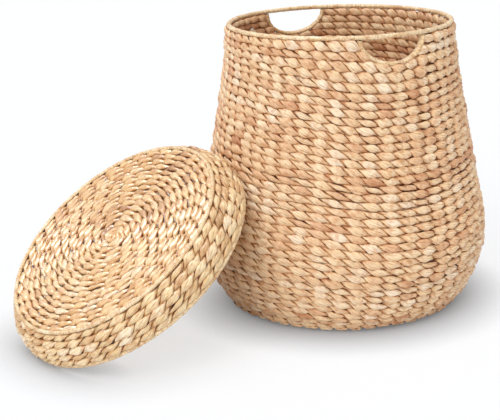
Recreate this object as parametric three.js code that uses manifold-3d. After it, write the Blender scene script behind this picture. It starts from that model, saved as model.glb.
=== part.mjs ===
// Lidded laundry basket: twined water hyacinth on a bent wire frame, with the lid leaning against it.
// Millimetres, +Z up. The origin is the middle of the base on the floor; +X runs through the front handle.
import * as THREE from "three";
import { mergeVertices } from "three/addons/utils/BufferGeometryUtils.js";
import Module from "manifold-3d";

const wasm = await Module();
wasm.setup();

// Sizes shared by the basket and its lid
const clearance = 0.3; // gap between pieces that touch
const weaveThickness = 12; // twined wall, base and lid
const courseGroove = 2.2; // depth of the valley between two courses
const ringWire = 3; // diameter of the bent wires at the edges and handles
const ribWire = 3; // diameter of the ribs inside the weave
const ribDepth = 6.5; // from the outer face of the weave to the middle of a rib
const hubRadius = 20; // the ribs stop this far from the middle of the base and of the lid
const wrapThickness = 1.2; // strand wound round an edge wire

// Basket
const basketHeight = 427;
const rimRadius = 170;
const neckReach = 77; // how far below the rim the wall line still points straight up
const bellyRadius = 218;
const bellyHeight = 114.5;
const bellyReachUp = 37;
const bellyReachDown = 43;
const baseRadius = 168.7; // flat part of the base
const footRadius = 14; // rounding where the base turns up into the wall
const footSlope = THREE.MathUtils.degToRad(52);
const footReach = 27;
const wallCourses = 38;
const ribCount = 8;
const handleWidth = 98; // between the middles of the hoop's two ends
const handleDrop = 35; // from the rim cord down to the middle of the hoop

// Lid
const lidHeight = 53.2;
const lidRimRadius = 191.2;
const lidSwellRadius = 200; // the side line is pulled out towards this radius at half height
const lidEdgeRadius = 171;
const lidSideCourses = 5;
const lidTopCourses = 15;
const lidRibCount = 6;

// Where the lid stands: its rim on the floor and against the wall, its top facing up and away
const lidTilt = THREE.MathUtils.degToRad(37.35);
const lidLeanAzimuth = THREE.MathUtils.degToRad(-79.2);
const lidPlaceAzimuth = THREE.MathUtils.degToRad(-86.2);

// Facets
const roundSteps = 26;
const wireSides = 5;
const cordSides = 6;
const hoopSteps = 16;
const innerSteps = 10;

// Limits of the sums below
const mergeDistance = 1e-4; // corners closer than this are one corner
const halvings = 40;
const samplesPerCourse = 20;
const rimSampleCount = 360;
const placeTolerance = 0.003;

const ringRadius = ringWire / 2;
const ribRadius = ribWire / 2;
const boreRadius = ringRadius + clearance; // hollow of a wound strand
const cordRadius = boreRadius + wrapThickness; // a wire with its strand wound round it
const cordHeight = 2 * cordRadius + clearance;
const weaveTop = basketHeight - cordHeight;

const weaveLook = new THREE.MeshStandardMaterial({ color: 0xd8b083, roughness: 0.85, flatShading: true });
const cordLook = new THREE.MeshStandardMaterial({ color: 0xe8d2a8, roughness: 0.8, flatShading: true });
const wireLook = new THREE.MeshStandardMaterial({
  color: 0x8d8f92,
  roughness: 0.45,
  metalness: 0.9,
  flatShading: true,
});

// Solids: closed indexed geometries, cut with manifold-3d

function closed(geometry) {
  geometry.deleteAttribute("normal");
  geometry.deleteAttribute("uv");
  const merged = mergeVertices(geometry, mergeDistance);
  const kept = [];
  const corners = merged.index.array;
  for (let i = 0; i < corners.length; i += 3) {
    const [a, b, c] = corners.slice(i, i + 3);
    if (a !== b && b !== c && c !== a) {
      kept.push(a, b, c);
    }
  }
  merged.setIndex(kept);
  return merged;
}

function manifold(geometry) {
  const vertProperties = new Float32Array(geometry.attributes.position.array);
  const triVerts = new Uint32Array(geometry.index.array);
  return new wasm.Manifold(new wasm.Mesh({ numProp: 3, vertProperties, triVerts }));
}

function cut(body, tools) {
  const left = tools.reduce((solid, tool) => solid.subtract(manifold(tool)), manifold(body));
  const { vertProperties, triVerts } = left.getMesh();
  const geometry = new THREE.BufferGeometry();
  geometry.setAttribute("position", new THREE.BufferAttribute(vertProperties, 3));
  geometry.setIndex(new THREE.BufferAttribute(triVerts, 1));
  return geometry;
}

// A profile of (radius, height) points turned about the Z axis, with a facet corner on +X
function revolve(profile) {
  const lathe = new THREE.LatheGeometry(profile, roundSteps);
  return closed(lathe.rotateX(Math.PI / 2).rotateZ(Math.PI / 2));
}

// A round wire through its stations, each ring of corners square to the run there
function wire(stations, radius, sides, sideways) {
  const positions = [];
  const index = [];
  stations.forEach((station, i) => {
    const before = stations[Math.max(i - 1, 0)];
    const after = stations[Math.min(i + 1, stations.length - 1)];
    const inRun = station.clone().sub(before).normalize();
    const outRun = after.clone().sub(station).normalize();
    const along = inRun.add(outRun).normalize();
    const across = new THREE.Vector3().crossVectors(sideways, along).normalize();
    const aside = new THREE.Vector3().crossVectors(along, across);
    for (let k = 0; k < sides; k += 1) {
      const angle = (2 * Math.PI * k) / sides;
      const corner = station.clone();
      corner.addScaledVector(across, radius * Math.cos(angle));
      corner.addScaledVector(aside, radius * Math.sin(angle));
      positions.push(...corner.toArray());
    }
  });
  for (let i = 0; i + 1 < stations.length; i += 1) {
    for (let k = 0; k < sides; k += 1) {
      const next = (k + 1) % sides;
      const [a, b] = [i * sides + k, i * sides + next];
      index.push(a, b, b + sides, a, b + sides, a + sides);
    }
  }
  const last = (stations.length - 1) * sides;
  for (let k = 1; k + 1 < sides; k += 1) {
    index.push(0, k + 1, k, last, last + k, last + k + 1);
  }
  const geometry = new THREE.BufferGeometry();
  geometry.setAttribute("position", new THREE.Float32BufferAttribute(positions, 3));
  geometry.setIndex(index);
  return geometry;
}

// A ring of round wire about the Z axis
function wireRing(radius, height) {
  const section = [];
  for (let k = 0; k <= wireSides; k += 1) {
    const angle = (2 * Math.PI * k) / wireSides;
    const corner = new THREE.Vector2(ringRadius * Math.cos(angle), ringRadius * Math.sin(angle));
    section.push(corner.add(new THREE.Vector2(radius, height)));
  }
  return revolve(section);
}

// The strand wound round a ring: a hollow section with the slit where its turns close
function woundRing(radius, height, slitDirection) {
  const section = [];
  const arc = (size, steps, from, to) => {
    for (let k = 0; k <= steps; k += 1) {
      const angle = slitDirection + from + ((to - from) * k) / steps;
      section.push(new THREE.Vector2(radius + size * Math.cos(angle), height + size * Math.sin(angle)));
    }
  };
  const outerSlit = Math.asin(clearance / cordRadius);
  const innerSlit = Math.asin(clearance / boreRadius);
  arc(cordRadius, cordSides, outerSlit, 2 * Math.PI - outerSlit);
  arc(boreRadius, wireSides, 2 * Math.PI - innerSlit, innerSlit);
  section.push(section[0].clone());
  return revolve(section);
}

// Outlines: lines in (radius, height), followed by their share of length

// The point a given depth inside a line, square to it
function inside(line, share, depth) {
  const point = line.getPoint(share);
  const run = line.getTangent(share);
  return new THREE.Vector2(point.x - depth * run.y, point.y + depth * run.x);
}

// The share of a line at which a point a given depth inside it reaches a height
function shareAtHeight(line, height, depth) {
  let [low, high] = [0, 1];
  for (let i = 0; i < halvings; i += 1) {
    const middle = (low + high) / 2;
    if (inside(line, middle, depth).y < height) {
      low = middle;
    } else {
      high = middle;
    }
  }
  return low;
}

// Courses: a valley, a crown and a valley along each, from one share of the line to another
function courses(line, from, to, count) {
  const points = [];
  for (let k = 0; k <= 2 * count; k += 1) {
    const share = from + ((to - from) * k) / (2 * count);
    points.push(inside(line, share, k % 2 ? 0 : courseGroove));
  }
  return points;
}

function innerFace(line, from, to, steps) {
  const points = [];
  for (let k = 0; k <= steps; k += 1) {
    points.push(inside(line, from + ((to - from) * k) / steps, weaveThickness));
  }
  return points;
}

// Turns (radius, height) stations into the upright plane at an azimuth
function atAzimuth(points, azimuth) {
  return points.map((p) => new THREE.Vector3(p.x * Math.cos(azimuth), p.x * Math.sin(azimuth), p.y));
}

function ribAzimuth(k, count) {
  return (2 * Math.PI * (k + 0.5)) / count;
}

function ribs(points, count, radius) {
  const list = [];
  for (let k = 0; k < count; k += 1) {
    const azimuth = ribAzimuth(k, count);
    const sideways = new THREE.Vector3(-Math.sin(azimuth), Math.cos(azimuth), 0);
    list.push(wire(atAzimuth(points, azimuth), radius, wireSides, sideways));
  }
  return list;
}

function addPiece(group, name, geometry, look) {
  const piece = new THREE.Mesh(geometry, look);
  piece.name = name;
  group.add(piece);
}

// Basket: the wall line, foot to rim
const footEnd = new THREE.Vector2(
  baseRadius + footRadius * Math.sin(footSlope),
  footRadius * (1 - Math.cos(footSlope)),
);
const wallLine = new THREE.Path();
wallLine.absarc(baseRadius, footRadius, footRadius, -Math.PI / 2, footSlope - Math.PI / 2, false);
wallLine.bezierCurveTo(
  footEnd.x + footReach * Math.cos(footSlope),
  footEnd.y + footReach * Math.sin(footSlope),
  bellyRadius,
  bellyHeight - bellyReachDown,
  bellyRadius,
  bellyHeight,
);
wallLine.bezierCurveTo(
  bellyRadius,
  bellyHeight + bellyReachUp,
  rimRadius,
  weaveTop - neckReach,
  rimRadius,
  weaveTop,
);
const wallLengths = wallLine.getCurveLengths();
const footShare = wallLengths[0] / wallLengths[2];

const basket = new THREE.Group();

// Ribs lie in the base, turn up at the foot and follow the wall to the rim
const ribLine = [new THREE.Vector2(hubRadius, ribDepth)];
for (const share of [0, footShare / 2, footShare]) {
  ribLine.push(inside(wallLine, share, ribDepth));
}
for (let k = 1; k <= innerSteps; k += 1) {
  ribLine.push(inside(wallLine, footShare + ((1 - footShare) * k) / innerSteps, ribDepth));
}
ribs(ribLine, ribCount, ribRadius).forEach((rib, k) => {
  addPiece(basket, `frame_rib_${k + 1}`, rib, wireLook);
});
const ribEnd = ribLine[ribLine.length - 1];
const ribRunOut = new THREE.Vector2(ribEnd.x, ribEnd.y + cordRadius);
const ribTunnels = ribs([...ribLine, ribRunOut], ribCount, ribRadius + clearance);

// The base ring lies under the ribs at the edge of the base
const baseEdge = baseRadius - clearance;
const baseRingRadius = baseEdge - ringRadius;
const baseRingHeight = ribDepth - ribRadius - clearance - ringRadius;
addPiece(basket, "base_ring", wireRing(baseRingRadius, baseRingHeight), wireLook);

const baseDisc = revolve([
  new THREE.Vector2(0, 0),
  new THREE.Vector2(baseEdge, 0),
  new THREE.Vector2(baseEdge, weaveThickness),
  new THREE.Vector2(0, weaveThickness),
]);
const grooveInner = baseRingRadius - boreRadius;
const baseGroove = revolve([
  new THREE.Vector2(grooveInner, baseRingHeight - boreRadius),
  new THREE.Vector2(baseRadius, baseRingHeight - boreRadius),
  new THREE.Vector2(baseRadius, baseRingHeight + boreRadius),
  new THREE.Vector2(grooveInner, baseRingHeight + boreRadius),
  new THREE.Vector2(grooveInner, baseRingHeight - boreRadius),
]);
addPiece(basket, "base_weave", cut(baseDisc, [baseGroove, ...ribTunnels]), weaveLook);

// Handle hoops: half ellipses hung from the rim on the line of the ribs
const hoopTop = weaveTop - clearance;

function hoopOutline(offset) {
  const half = handleWidth / 2;
  const points = [];
  for (let k = 0; k <= hoopSteps; k += 1) {
    const angle = (Math.PI * k) / hoopSteps;
    const square = new THREE.Vector2(handleDrop * Math.cos(angle), -half * Math.sin(angle)).normalize();
    points.push(
      new THREE.Vector2(
        half * Math.cos(angle) + offset * square.x,
        hoopTop - handleDrop * Math.sin(angle) + offset * square.y,
      ),
    );
  }
  return points;
}

function hoopStations(direction) {
  return hoopOutline(0).map((p) => {
    const radius = inside(wallLine, shareAtHeight(wallLine, p.y, ribDepth), ribDepth).x;
    return new THREE.Vector3(direction * Math.sqrt(radius ** 2 - p.x ** 2), direction * p.x, p.y);
  });
}

// Carries the bore of a wound hoop past both of its ends
function runPast(stations, length) {
  const carry = (end, neighbour) => end.clone().sub(neighbour).setLength(length).add(end);
  const [first, second] = stations;
  const [nextToLast, last] = stations.slice(-2);
  return [carry(first, second), ...stations, carry(last, nextToLast)];
}

function handleCutter(direction) {
  const outline = hoopOutline(cordRadius + clearance);
  const above = basketHeight;
  const first = outline[0];
  const last = outline[outline.length - 1];
  const shape = new THREE.Shape([
    new THREE.Vector2(last.x, above),
    new THREE.Vector2(first.x, above),
    ...outline,
  ].reverse());
  const cutter = new THREE.ExtrudeGeometry(shape, { depth: bellyRadius, bevelEnabled: false });
  const alongX = new THREE.Matrix4().makeBasis(
    new THREE.Vector3(0, 1, 0),
    new THREE.Vector3(0, 0, 1),
    new THREE.Vector3(1, 0, 0),
  );
  cutter.applyMatrix4(alongX);
  return closed(direction > 0 ? cutter : cutter.rotateZ(Math.PI));
}

const handles = [
  { name: "front_handle", direction: 1 },
  { name: "back_handle", direction: -1 },
];
for (const { name, direction } of handles) {
  const stations = hoopStations(direction);
  const facing = new THREE.Vector3(direction, 0, 0);
  const wound = wire(stations, cordRadius, cordSides, facing);
  const bore = wire(runPast(stations, cordRadius), boreRadius, wireSides, facing);
  addPiece(basket, `${name}_hoop`, wire(stations, ringRadius, wireSides, facing), wireLook);
  addPiece(basket, `${name}_binding`, cut(wound, [bore]), cordLook);
}

const wallShell = revolve([
  ...courses(wallLine, 0, 1, wallCourses),
  ...innerFace(wallLine, 1, 0, innerSteps),
  inside(wallLine, 0, courseGroove),
]);
const handleCutters = handles.map(({ direction }) => handleCutter(direction));
addPiece(basket, "wall_weave", cut(wallShell, [...handleCutters, ...ribTunnels]), weaveLook);

// The rim ring and the strand wound round it, on top of the wall
const rimCordRadius = rimRadius - weaveThickness / 2;
const rimCordHeight = basketHeight - cordRadius;
addPiece(basket, "rim_ring", wireRing(rimCordRadius, rimCordHeight), wireLook);
addPiece(basket, "rim_binding", woundRing(rimCordRadius, rimCordHeight, -Math.PI / 2), cordLook);

// Lid, upright in its own frame: the rim plane is at zero and the top faces up
const lid = new THREE.Group();
const lidLine = new THREE.Path();
lidLine.moveTo(lidRimRadius, 0);
lidLine.quadraticCurveTo(lidSwellRadius, lidHeight / 2, lidEdgeRadius, lidHeight);
const sideFrom = shareAtHeight(lidLine, cordHeight, 0);
const sideTo = shareAtHeight(lidLine, lidHeight - cordHeight, 0);

const lidRimCord = new THREE.Vector2(lidRimRadius - cordRadius, cordRadius);
const lidEdgeCord = new THREE.Vector2(lidEdgeRadius - cordRadius, lidHeight - cordRadius);
addPiece(lid, "lid_rim_ring", wireRing(lidRimCord.x, lidRimCord.y), wireLook);
addPiece(lid, "lid_rim_binding", woundRing(lidRimCord.x, lidRimCord.y, Math.PI / 2), cordLook);
addPiece(lid, "lid_edge_ring", wireRing(lidEdgeCord.x, lidEdgeCord.y), wireLook);
addPiece(lid, "lid_edge_binding", woundRing(lidEdgeCord.x, lidEdgeCord.y, -Math.PI / 2), cordLook);

// Lid ribs run out under the top, pass below the edge cord and follow the side to the rim cord
const lidTopRadius = lidEdgeRadius - cordHeight;
const lidRibHeight = lidHeight - cordHeight - ribRadius;
const lidRibLine = [
  new THREE.Vector2(hubRadius, lidRibHeight),
  new THREE.Vector2(lidTopRadius, lidRibHeight),
];
const lidBendShare = 0.75;
const lidRibSteps = 3;
for (let k = 0; k <= lidRibSteps; k += 1) {
  const share = lidBendShare + ((sideFrom - lidBendShare) * k) / lidRibSteps;
  lidRibLine.push(inside(lidLine, share, ribDepth));
}
ribs(lidRibLine, lidRibCount, ribRadius).forEach((rib, k) => {
  addPiece(lid, `lid_rib_${k + 1}`, rib, wireLook);
});
const lidRibEnd = lidRibLine[lidRibLine.length - 1];
const lidRibRunOut = new THREE.Vector2(lidRibEnd.x, lidRibEnd.y - cordRadius);
const lidTunnels = ribs([...lidRibLine, lidRibRunOut], lidRibCount, ribRadius + clearance);

// The top is a disc of concentric courses
const lidTopLine = new THREE.LineCurve(
  new THREE.Vector2(lidTopRadius, lidHeight),
  new THREE.Vector2(0, lidHeight),
);
const lidUnderside = lidHeight - weaveThickness;
const lidDisc = revolve([
  new THREE.Vector2(0, lidUnderside),
  new THREE.Vector2(lidTopRadius, lidUnderside),
  ...courses(lidTopLine, 0, 1, lidTopCourses),
]);
addPiece(lid, "lid_top_weave", cut(lidDisc, lidTunnels), weaveLook);

const lidShell = revolve([
  ...courses(lidLine, sideFrom, sideTo, lidSideCourses),
  ...innerFace(lidLine, 1, sideFrom, lidSideCourses),
  inside(lidLine, sideFrom, courseGroove),
]);
const topSeat = revolve([
  new THREE.Vector2(0, lidUnderside - clearance),
  new THREE.Vector2(lidTopRadius + clearance, lidUnderside - clearance),
  new THREE.Vector2(lidTopRadius + clearance, lidHeight),
  new THREE.Vector2(0, lidHeight),
]);
addPiece(lid, "lid_side_weave", cut(lidShell, [topSeat, ...lidTunnels]), weaveLook);

// The lid leans: tilted about its rim, low enough to stand on the floor, close enough to touch the wall
const lidAxis = new THREE.Vector3(
  Math.sin(lidTilt) * Math.cos(lidLeanAzimuth),
  Math.sin(lidTilt) * Math.sin(lidLeanAzimuth),
  Math.cos(lidTilt),
);
lid.quaternion.setFromUnitVectors(new THREE.Vector3(0, 0, 1), lidAxis);

// How far in a facet lies at an azimuth, as a share of the radius at its corners
function facetShare(azimuth) {
  const step = (2 * Math.PI) / roundSteps;
  const fromMiddle = THREE.MathUtils.euclideanModulo(azimuth, step) - step / 2;
  return Math.cos(step / 2) / Math.cos(fromMiddle);
}

const wallCourseLine = new THREE.Path(courses(wallLine, 0, 1, wallCourses));
const wallSamples = wallCourseLine.getSpacedPoints(samplesPerCourse * wallCourses);
const rimSamples = [];
for (let k = 0; k < rimSampleCount; k += 1) {
  const angle = (2 * Math.PI * k) / rimSampleCount;
  const radius = lidRimCord.x * facetShare(angle);
  const onRim = new THREE.Vector3(radius * Math.cos(angle), radius * Math.sin(angle), lidRimCord.y);
  rimSamples.push(onRim.applyQuaternion(lid.quaternion));
}
lid.position.z = cordRadius - Math.min(...rimSamples.map((sample) => sample.z));

// Least distance from the lid's rim cord to the wall, with the lid's centre at a distance from the axis
function leanGap(distance) {
  const centreX = distance * Math.cos(lidPlaceAzimuth);
  const centreY = distance * Math.sin(lidPlaceAzimuth);
  let least = Infinity;
  for (const sample of rimSamples) {
    const [x, y] = [sample.x + centreX, sample.y + centreY];
    const radius = Math.hypot(x, y) / facetShare(Math.atan2(y, x));
    const height = sample.z + lid.position.z;
    for (const wall of wallSamples) {
      least = Math.min(least, Math.hypot(radius - wall.x, height - wall.y));
    }
  }
  return least - cordRadius;
}

let [near, far] = [bellyRadius, bellyRadius + 2 * lidRimRadius];
while (far - near > placeTolerance) {
  const middle = (near + far) / 2;
  if (leanGap(middle) < clearance) {
    near = middle;
  } else {
    far = middle;
  }
}
lid.position.x = far * Math.cos(lidPlaceAzimuth);
lid.position.y = far * Math.sin(lidPlaceAzimuth);

const laundryBasket = new THREE.Group();
laundryBasket.add(basket, lid);

export default laundryBasket;
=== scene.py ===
# %% [markdown]
# # A twined laundry basket with its lid off
#
# This lesson dresses a CAD model of a round floor basket. The CAD model gives the sizes, the wire frame
# and the two bodies that move, basket and lid. Its woven walls are plain grooved shells, so here every
# course of the weave is built strand by strand, from dried water hyacinth, and put in the place of its
# shell.

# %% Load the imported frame
import math

import bmesh
import bpy
import numpy as np
from mathutils import Matrix, Vector


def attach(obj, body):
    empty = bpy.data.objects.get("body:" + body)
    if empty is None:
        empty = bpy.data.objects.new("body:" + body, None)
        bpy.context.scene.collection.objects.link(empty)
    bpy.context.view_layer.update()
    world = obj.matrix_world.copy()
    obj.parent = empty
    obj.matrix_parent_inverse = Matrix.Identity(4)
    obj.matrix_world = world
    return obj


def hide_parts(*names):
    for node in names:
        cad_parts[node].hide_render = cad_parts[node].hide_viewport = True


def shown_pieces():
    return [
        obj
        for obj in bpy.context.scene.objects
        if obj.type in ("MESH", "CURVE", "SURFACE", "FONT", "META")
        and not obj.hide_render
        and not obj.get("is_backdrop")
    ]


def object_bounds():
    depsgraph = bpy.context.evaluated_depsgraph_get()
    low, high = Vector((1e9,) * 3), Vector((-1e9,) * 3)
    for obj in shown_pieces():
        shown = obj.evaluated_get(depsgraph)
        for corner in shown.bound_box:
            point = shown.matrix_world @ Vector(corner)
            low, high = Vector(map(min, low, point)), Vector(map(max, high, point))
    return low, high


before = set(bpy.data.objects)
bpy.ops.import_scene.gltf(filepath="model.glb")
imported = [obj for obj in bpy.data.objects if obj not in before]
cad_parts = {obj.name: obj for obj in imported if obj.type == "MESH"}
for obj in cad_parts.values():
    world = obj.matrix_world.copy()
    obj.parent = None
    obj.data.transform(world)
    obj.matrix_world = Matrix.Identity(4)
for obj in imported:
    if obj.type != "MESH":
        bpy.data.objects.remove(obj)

MM = 0.001
scene = bpy.context.scene
cad_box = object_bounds()
cad_size = [round(high - low, 3) for low, high in zip(*cad_box)]
print("CAD nodes:", len(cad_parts), "size in metres:", cad_size)

# %% [markdown]
# ## Camera
#
# The camera comes first, because every later choice is compared with the photograph. A focal length could
# be guessed and the camera moved by eye, but ellipses give it away: how open the rim looks against the
# foot fixes the distance and the tilt. The fit gave a lens 2.6 picture widths long, 1.9 m from the
# basket's axis.

# %% Camera
PICTURE_WIDTH = 500
FOCAL_PIXELS = 1300
CAMERA_PLACE = Vector((1.7201, -0.8764, 0.7041))
CAMERA_HEADING = math.radians(67.2)
CAMERA_TILT_DOWN = math.radians(16.42)
CAMERA_ROLL = math.radians(1.83)

camera_data = bpy.data.cameras.new("camera")
camera_data.sensor_fit = "HORIZONTAL"
camera_data.sensor_width = 36.0
camera_data.lens = camera_data.sensor_width * FOCAL_PIXELS / PICTURE_WIDTH
camera = bpy.data.objects.new("camera", camera_data)
scene.collection.objects.link(camera)
scene.camera = camera
camera.matrix_world = (
    Matrix.Translation(CAMERA_PLACE)
    @ Matrix.Rotation(CAMERA_HEADING, 4, "Z")
    @ Matrix.Rotation(math.pi / 2 - CAMERA_TILT_DOWN, 4, "X")
    @ Matrix.Rotation(-CAMERA_ROLL, 4, "Z")
)
print("Lens:", round(camera_data.lens, 1), "mm")

# %% [markdown]
# ## Lines to weave along
#
# Basket and lid are round, so a course of weave only needs a line in radius and height to lie on. The
# lines could be drawn by hand as curve objects, but then they would stray from the CAD model. These repeat
# its formulas: a foot rounding and two curves for the wall, one curve for the side of the lid, and
# straight lines for its top and for the base. A line is stored with the distance along it, so that a
# course can be asked for by how far it lies from the start.

# %% A line, and how to follow it
def bezier(points, steps=80):
    """Points of a curve, found by drawing lines between the control points again and again."""
    share = np.linspace(0, 1, steps)[:, None]
    level = [np.array(point, float) for point in points]
    while len(level) > 1:
        level = [(1 - share) * a + share * b for a, b in zip(level, level[1:])]
    return level[0]


def outline(points):
    """A line through points given in mm: its points, its direction and the distance along it, in m."""
    points = np.array(points, float) * MM
    run = np.gradient(points, axis=0)
    run /= np.hypot(run[:, :1], run[:, 1:])
    steps = np.hypot(*np.diff(points, axis=0).T)
    return {"points": points, "run": run, "at": np.concatenate([[0.0], np.cumsum(steps)])}


def follow(line, at):
    """Radius, height, and the direction of the line in both, at distances along it."""
    columns = [line["points"][:, 0], line["points"][:, 1], line["run"][:, 0], line["run"][:, 1]]
    return [np.interp(at, line["at"], column) for column in columns]


sample_length = outline([(0, 0), (3, 4)])["at"][-1]
print("A line 3 mm out and 4 mm up is", round(sample_length / MM, 3), "mm long")

# %% Line of the wall, in millimetres of radius and height
FOOT_CENTRE = np.array([168.7, 14.0])
FOOT_ROUNDING = 14.0
FOOT_SLOPE = math.radians(52)
FOOT_REACH = 27
FOOT_STEPS = 14
BELLY_RADIUS = 218.0
BELLY_HEIGHT = 114.5
BELLY_REACH_DOWN = 43
BELLY_REACH_UP = 37
RIM_RADIUS = 170.0
WALL_TOP = 420.7
NECK_REACH = 77

turn_up = np.linspace(-math.pi / 2, FOOT_SLOPE - math.pi / 2, FOOT_STEPS)
foot_arc = FOOT_CENTRE + FOOT_ROUNDING * np.stack([np.cos(turn_up), np.sin(turn_up)], axis=1)
foot_end = foot_arc[-1]
foot_lead = foot_end + FOOT_REACH * np.array([math.cos(FOOT_SLOPE), math.sin(FOOT_SLOPE)])
belly = (BELLY_RADIUS, BELLY_HEIGHT)
below_belly = (BELLY_RADIUS, BELLY_HEIGHT - BELLY_REACH_DOWN)
above_belly = (BELLY_RADIUS, BELLY_HEIGHT + BELLY_REACH_UP)
lower_wall = bezier([foot_end, foot_lead, below_belly, belly])
upper_wall = bezier([belly, above_belly, (RIM_RADIUS, WALL_TOP - NECK_REACH), (RIM_RADIUS, WALL_TOP)])
wall_line = outline(np.concatenate([foot_arc, lower_wall[1:], upper_wall[1:]]))
print("Wall line:", round(wall_line["at"][-1] / MM, 1), "mm")

# %% Lines of the lid and of the base, in millimetres of radius and height
LID_HEIGHT = 53.2
LID_RIM = 191.2
LID_SWELL = 200.0
LID_EDGE = 171.0
LID_TOP_INSET = 3.4
BASE_EDGE = 168.4

# The lines of top and base stop just short of the axis
MIDDLE = 0.1

lid_line = outline(bezier([(LID_RIM, 0), (LID_SWELL, LID_HEIGHT / 2), (LID_EDGE, LID_HEIGHT)]))
lid_top_line = outline([(LID_EDGE - LID_TOP_INSET, LID_HEIGHT), (MIDDLE, LID_HEIGHT)])
base_line = outline([(MIDDLE, 0), (BASE_EDGE, 0)])
for label, line in (("Lid side", lid_line), ("Lid top", lid_top_line), ("Base", base_line)):
    print(label, "line:", round(line["at"][-1] / MM, 1), "mm")

# %% [markdown]
# ## Rolled tubes
#
# A strand is a long soft tube. Sweeping a curve would do, but a curve can't change its section at every
# crossing. A flat grid that is rolled up can: each corner remembers how far along and how far round it
# is, and the place of every corner is then a formula of these two. The same rolled grid serves every
# course with the same count of crossings.

# %% Lay grids flat and roll them up
STRAND_GIRTH = 30 * MM
TUBE_MARKS = ("along", "around", "ply")
WELD = 1e-6


def lay_grids(bm, rings, sides, plies):
    """One flat grid for each strand, whose corners carry their shares along and around it."""
    layers = [bm.verts.layers.float.new(name) for name in TUBE_MARKS]
    for ply in range(plies):
        grid = bmesh.ops.create_grid(bm, x_segments=rings, y_segments=sides, size=0.5)
        for vert in grid["verts"]:
            for layer, value in zip(layers, (vert.co.x + 0.5, vert.co.y + 0.5, ply)):
                vert[layer] = value
    return layers


def map_strand(bm, along, around, length, wound):
    """The strand's own UV map in metres. On a wound cord the strand runs round the tube."""
    sheet = bm.loops.layers.uv.new("strand")
    for face in bm.faces:
        for corner in face.loops:
            on_sheet = (corner.vert[along] * length, corner.vert[around] * STRAND_GIRTH)
            corner[sheet].uv = on_sheet[::-1] if wound else on_sheet


def roll_up(bm, layers, loop):
    """Bends each grid into a ring, or half a ring if its ends stay apart, and welds where it meets."""
    # The sizes don't matter yet, as long as nothing but the seams can meet
    for vert in bm.verts:
        along, around, ply = [vert[layer] for layer in layers]
        out = 2 + math.cos(2 * math.pi * around)
        up = math.sin(2 * math.pi * around) + 4 * ply
        turn = 2 * math.pi * along if loop else math.pi * along
        vert.co = (out * math.cos(turn), out * math.sin(turn), up)
    bmesh.ops.remove_doubles(bm, verts=bm.verts, dist=WELD)
    bmesh.ops.recalc_face_normals(bm, faces=bm.faces)


print("A corner's marks:", TUBE_MARKS, "and a sheet", STRAND_GIRTH / MM, "mm round")

# %% Keep a rolled mesh for every count of rings
rolls = {}


def rolled_tubes(rings, sides, loop, plies, ring_step, wound):
    """A mesh of rolled tubes, and the marks of its corners as arrays."""
    bm = bmesh.new()
    layers = lay_grids(bm, rings, sides, plies)
    map_strand(bm, layers[0], layers[1], rings * ring_step, wound)
    roll_up(bm, layers, loop)
    mesh = bpy.data.meshes.new("rolled")
    bm.to_mesh(mesh)
    bm.free()
    tubes = {"mesh": mesh}
    for name in TUBE_MARKS:
        values = np.zeros(len(mesh.vertices), np.float32)
        mesh.attributes[name].data.foreach_get("value", values)
        tubes[name] = values.astype(float)
        mesh.attributes.remove(mesh.attributes[name])
    return tubes


def tubes_for(*key):
    """Rolled tubes of this kind, made once."""
    if key not in rolls:
        rolls[key] = rolled_tubes(*key)
    return rolls[key]


print("Rolled so far:", len(rolls))

# %% Put a tube's corners in place and make it a piece
BODY_PLACE = {"basket": Matrix.Identity(4)}


def add_piece(name, tubes, places, tone, painted_shade_openness, body, nodes, finish):
    """A piece that moves with its body and stands for the plain shell of the CAD model."""
    mesh = tubes["mesh"].copy()
    mesh.name = name
    mesh.vertices.foreach_set("co", places.astype(np.float32).ravel())
    for mark, values in (("tone", tone), ("painted_shade_openness", painted_shade_openness)):
        mesh.attributes.new(mark, "FLOAT", "POINT").data.foreach_set("value", values.astype(np.float32))
    mesh.transform(BODY_PLACE[body])
    bm = bmesh.new()
    bm.from_mesh(mesh)
    bmesh.ops.remove_doubles(bm, verts=bm.verts, dist=WELD)
    bmesh.ops.recalc_face_normals(bm, faces=bm.faces)
    for face in bm.faces:
        face.smooth = True
    bm.to_mesh(mesh)
    bm.free()
    mesh.materials.append(finish)
    piece = bpy.data.objects.new(name, mesh)
    scene.collection.objects.link(piece)
    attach(piece, body)
    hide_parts(*nodes)
    return piece


print("Bodies with a place so far:", list(BODY_PLACE))

# %% [markdown]
# ## Finishes
#
# Water hyacinth is a hollow water plant whose stems are dried until they collapse into soft flat strands.
# The eye sees four things: every strand has its own tone from cream to brown, fine fibres run along it,
# the valleys between strands are dark, and the outer skin keeps a slight gloss like straw. A picture of
# weave wrapped round the basket would give the tones, but not at the crossings of this mesh. So the tone,
# and the shade of the valleys, which is painted into the colour, come with the mesh as attributes. The
# fibres follow the strand's own UV map in metres, and the gloss is a roughness that changes with the
# fibres, with a waxy coat on the lid's top only.

# %% Colour and node helpers
def linear(hex_colour):
    """An sRGB hex colour as linear light, with full alpha."""
    parts = [int(hex_colour[i:i + 2], 16) / 255 for i in (1, 3, 5)]
    return [p / 12.92 if p <= 0.04045 else ((p + 0.055) / 1.055) ** 2.4 for p in parts] + [1.0]


def add_node(tree, kind, settings=None, inputs=None):
    """Adds a node. Inputs go by name or number and take a value or another node's output."""
    node = tree.nodes.new(kind)
    for name, value in (settings or {}).items():
        setattr(node, name, value)
    for name, value in (inputs or {}).items():
        if isinstance(value, bpy.types.NodeSocket):
            tree.links.new(value, node.inputs[name])
        else:
            node.inputs[name].default_value = value
    return node


def new_finish(name):
    """An empty material and its node tree."""
    material = bpy.data.materials.new(name)
    material.use_nodes = True
    material.node_tree.nodes.clear()
    return material, material.node_tree


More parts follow.
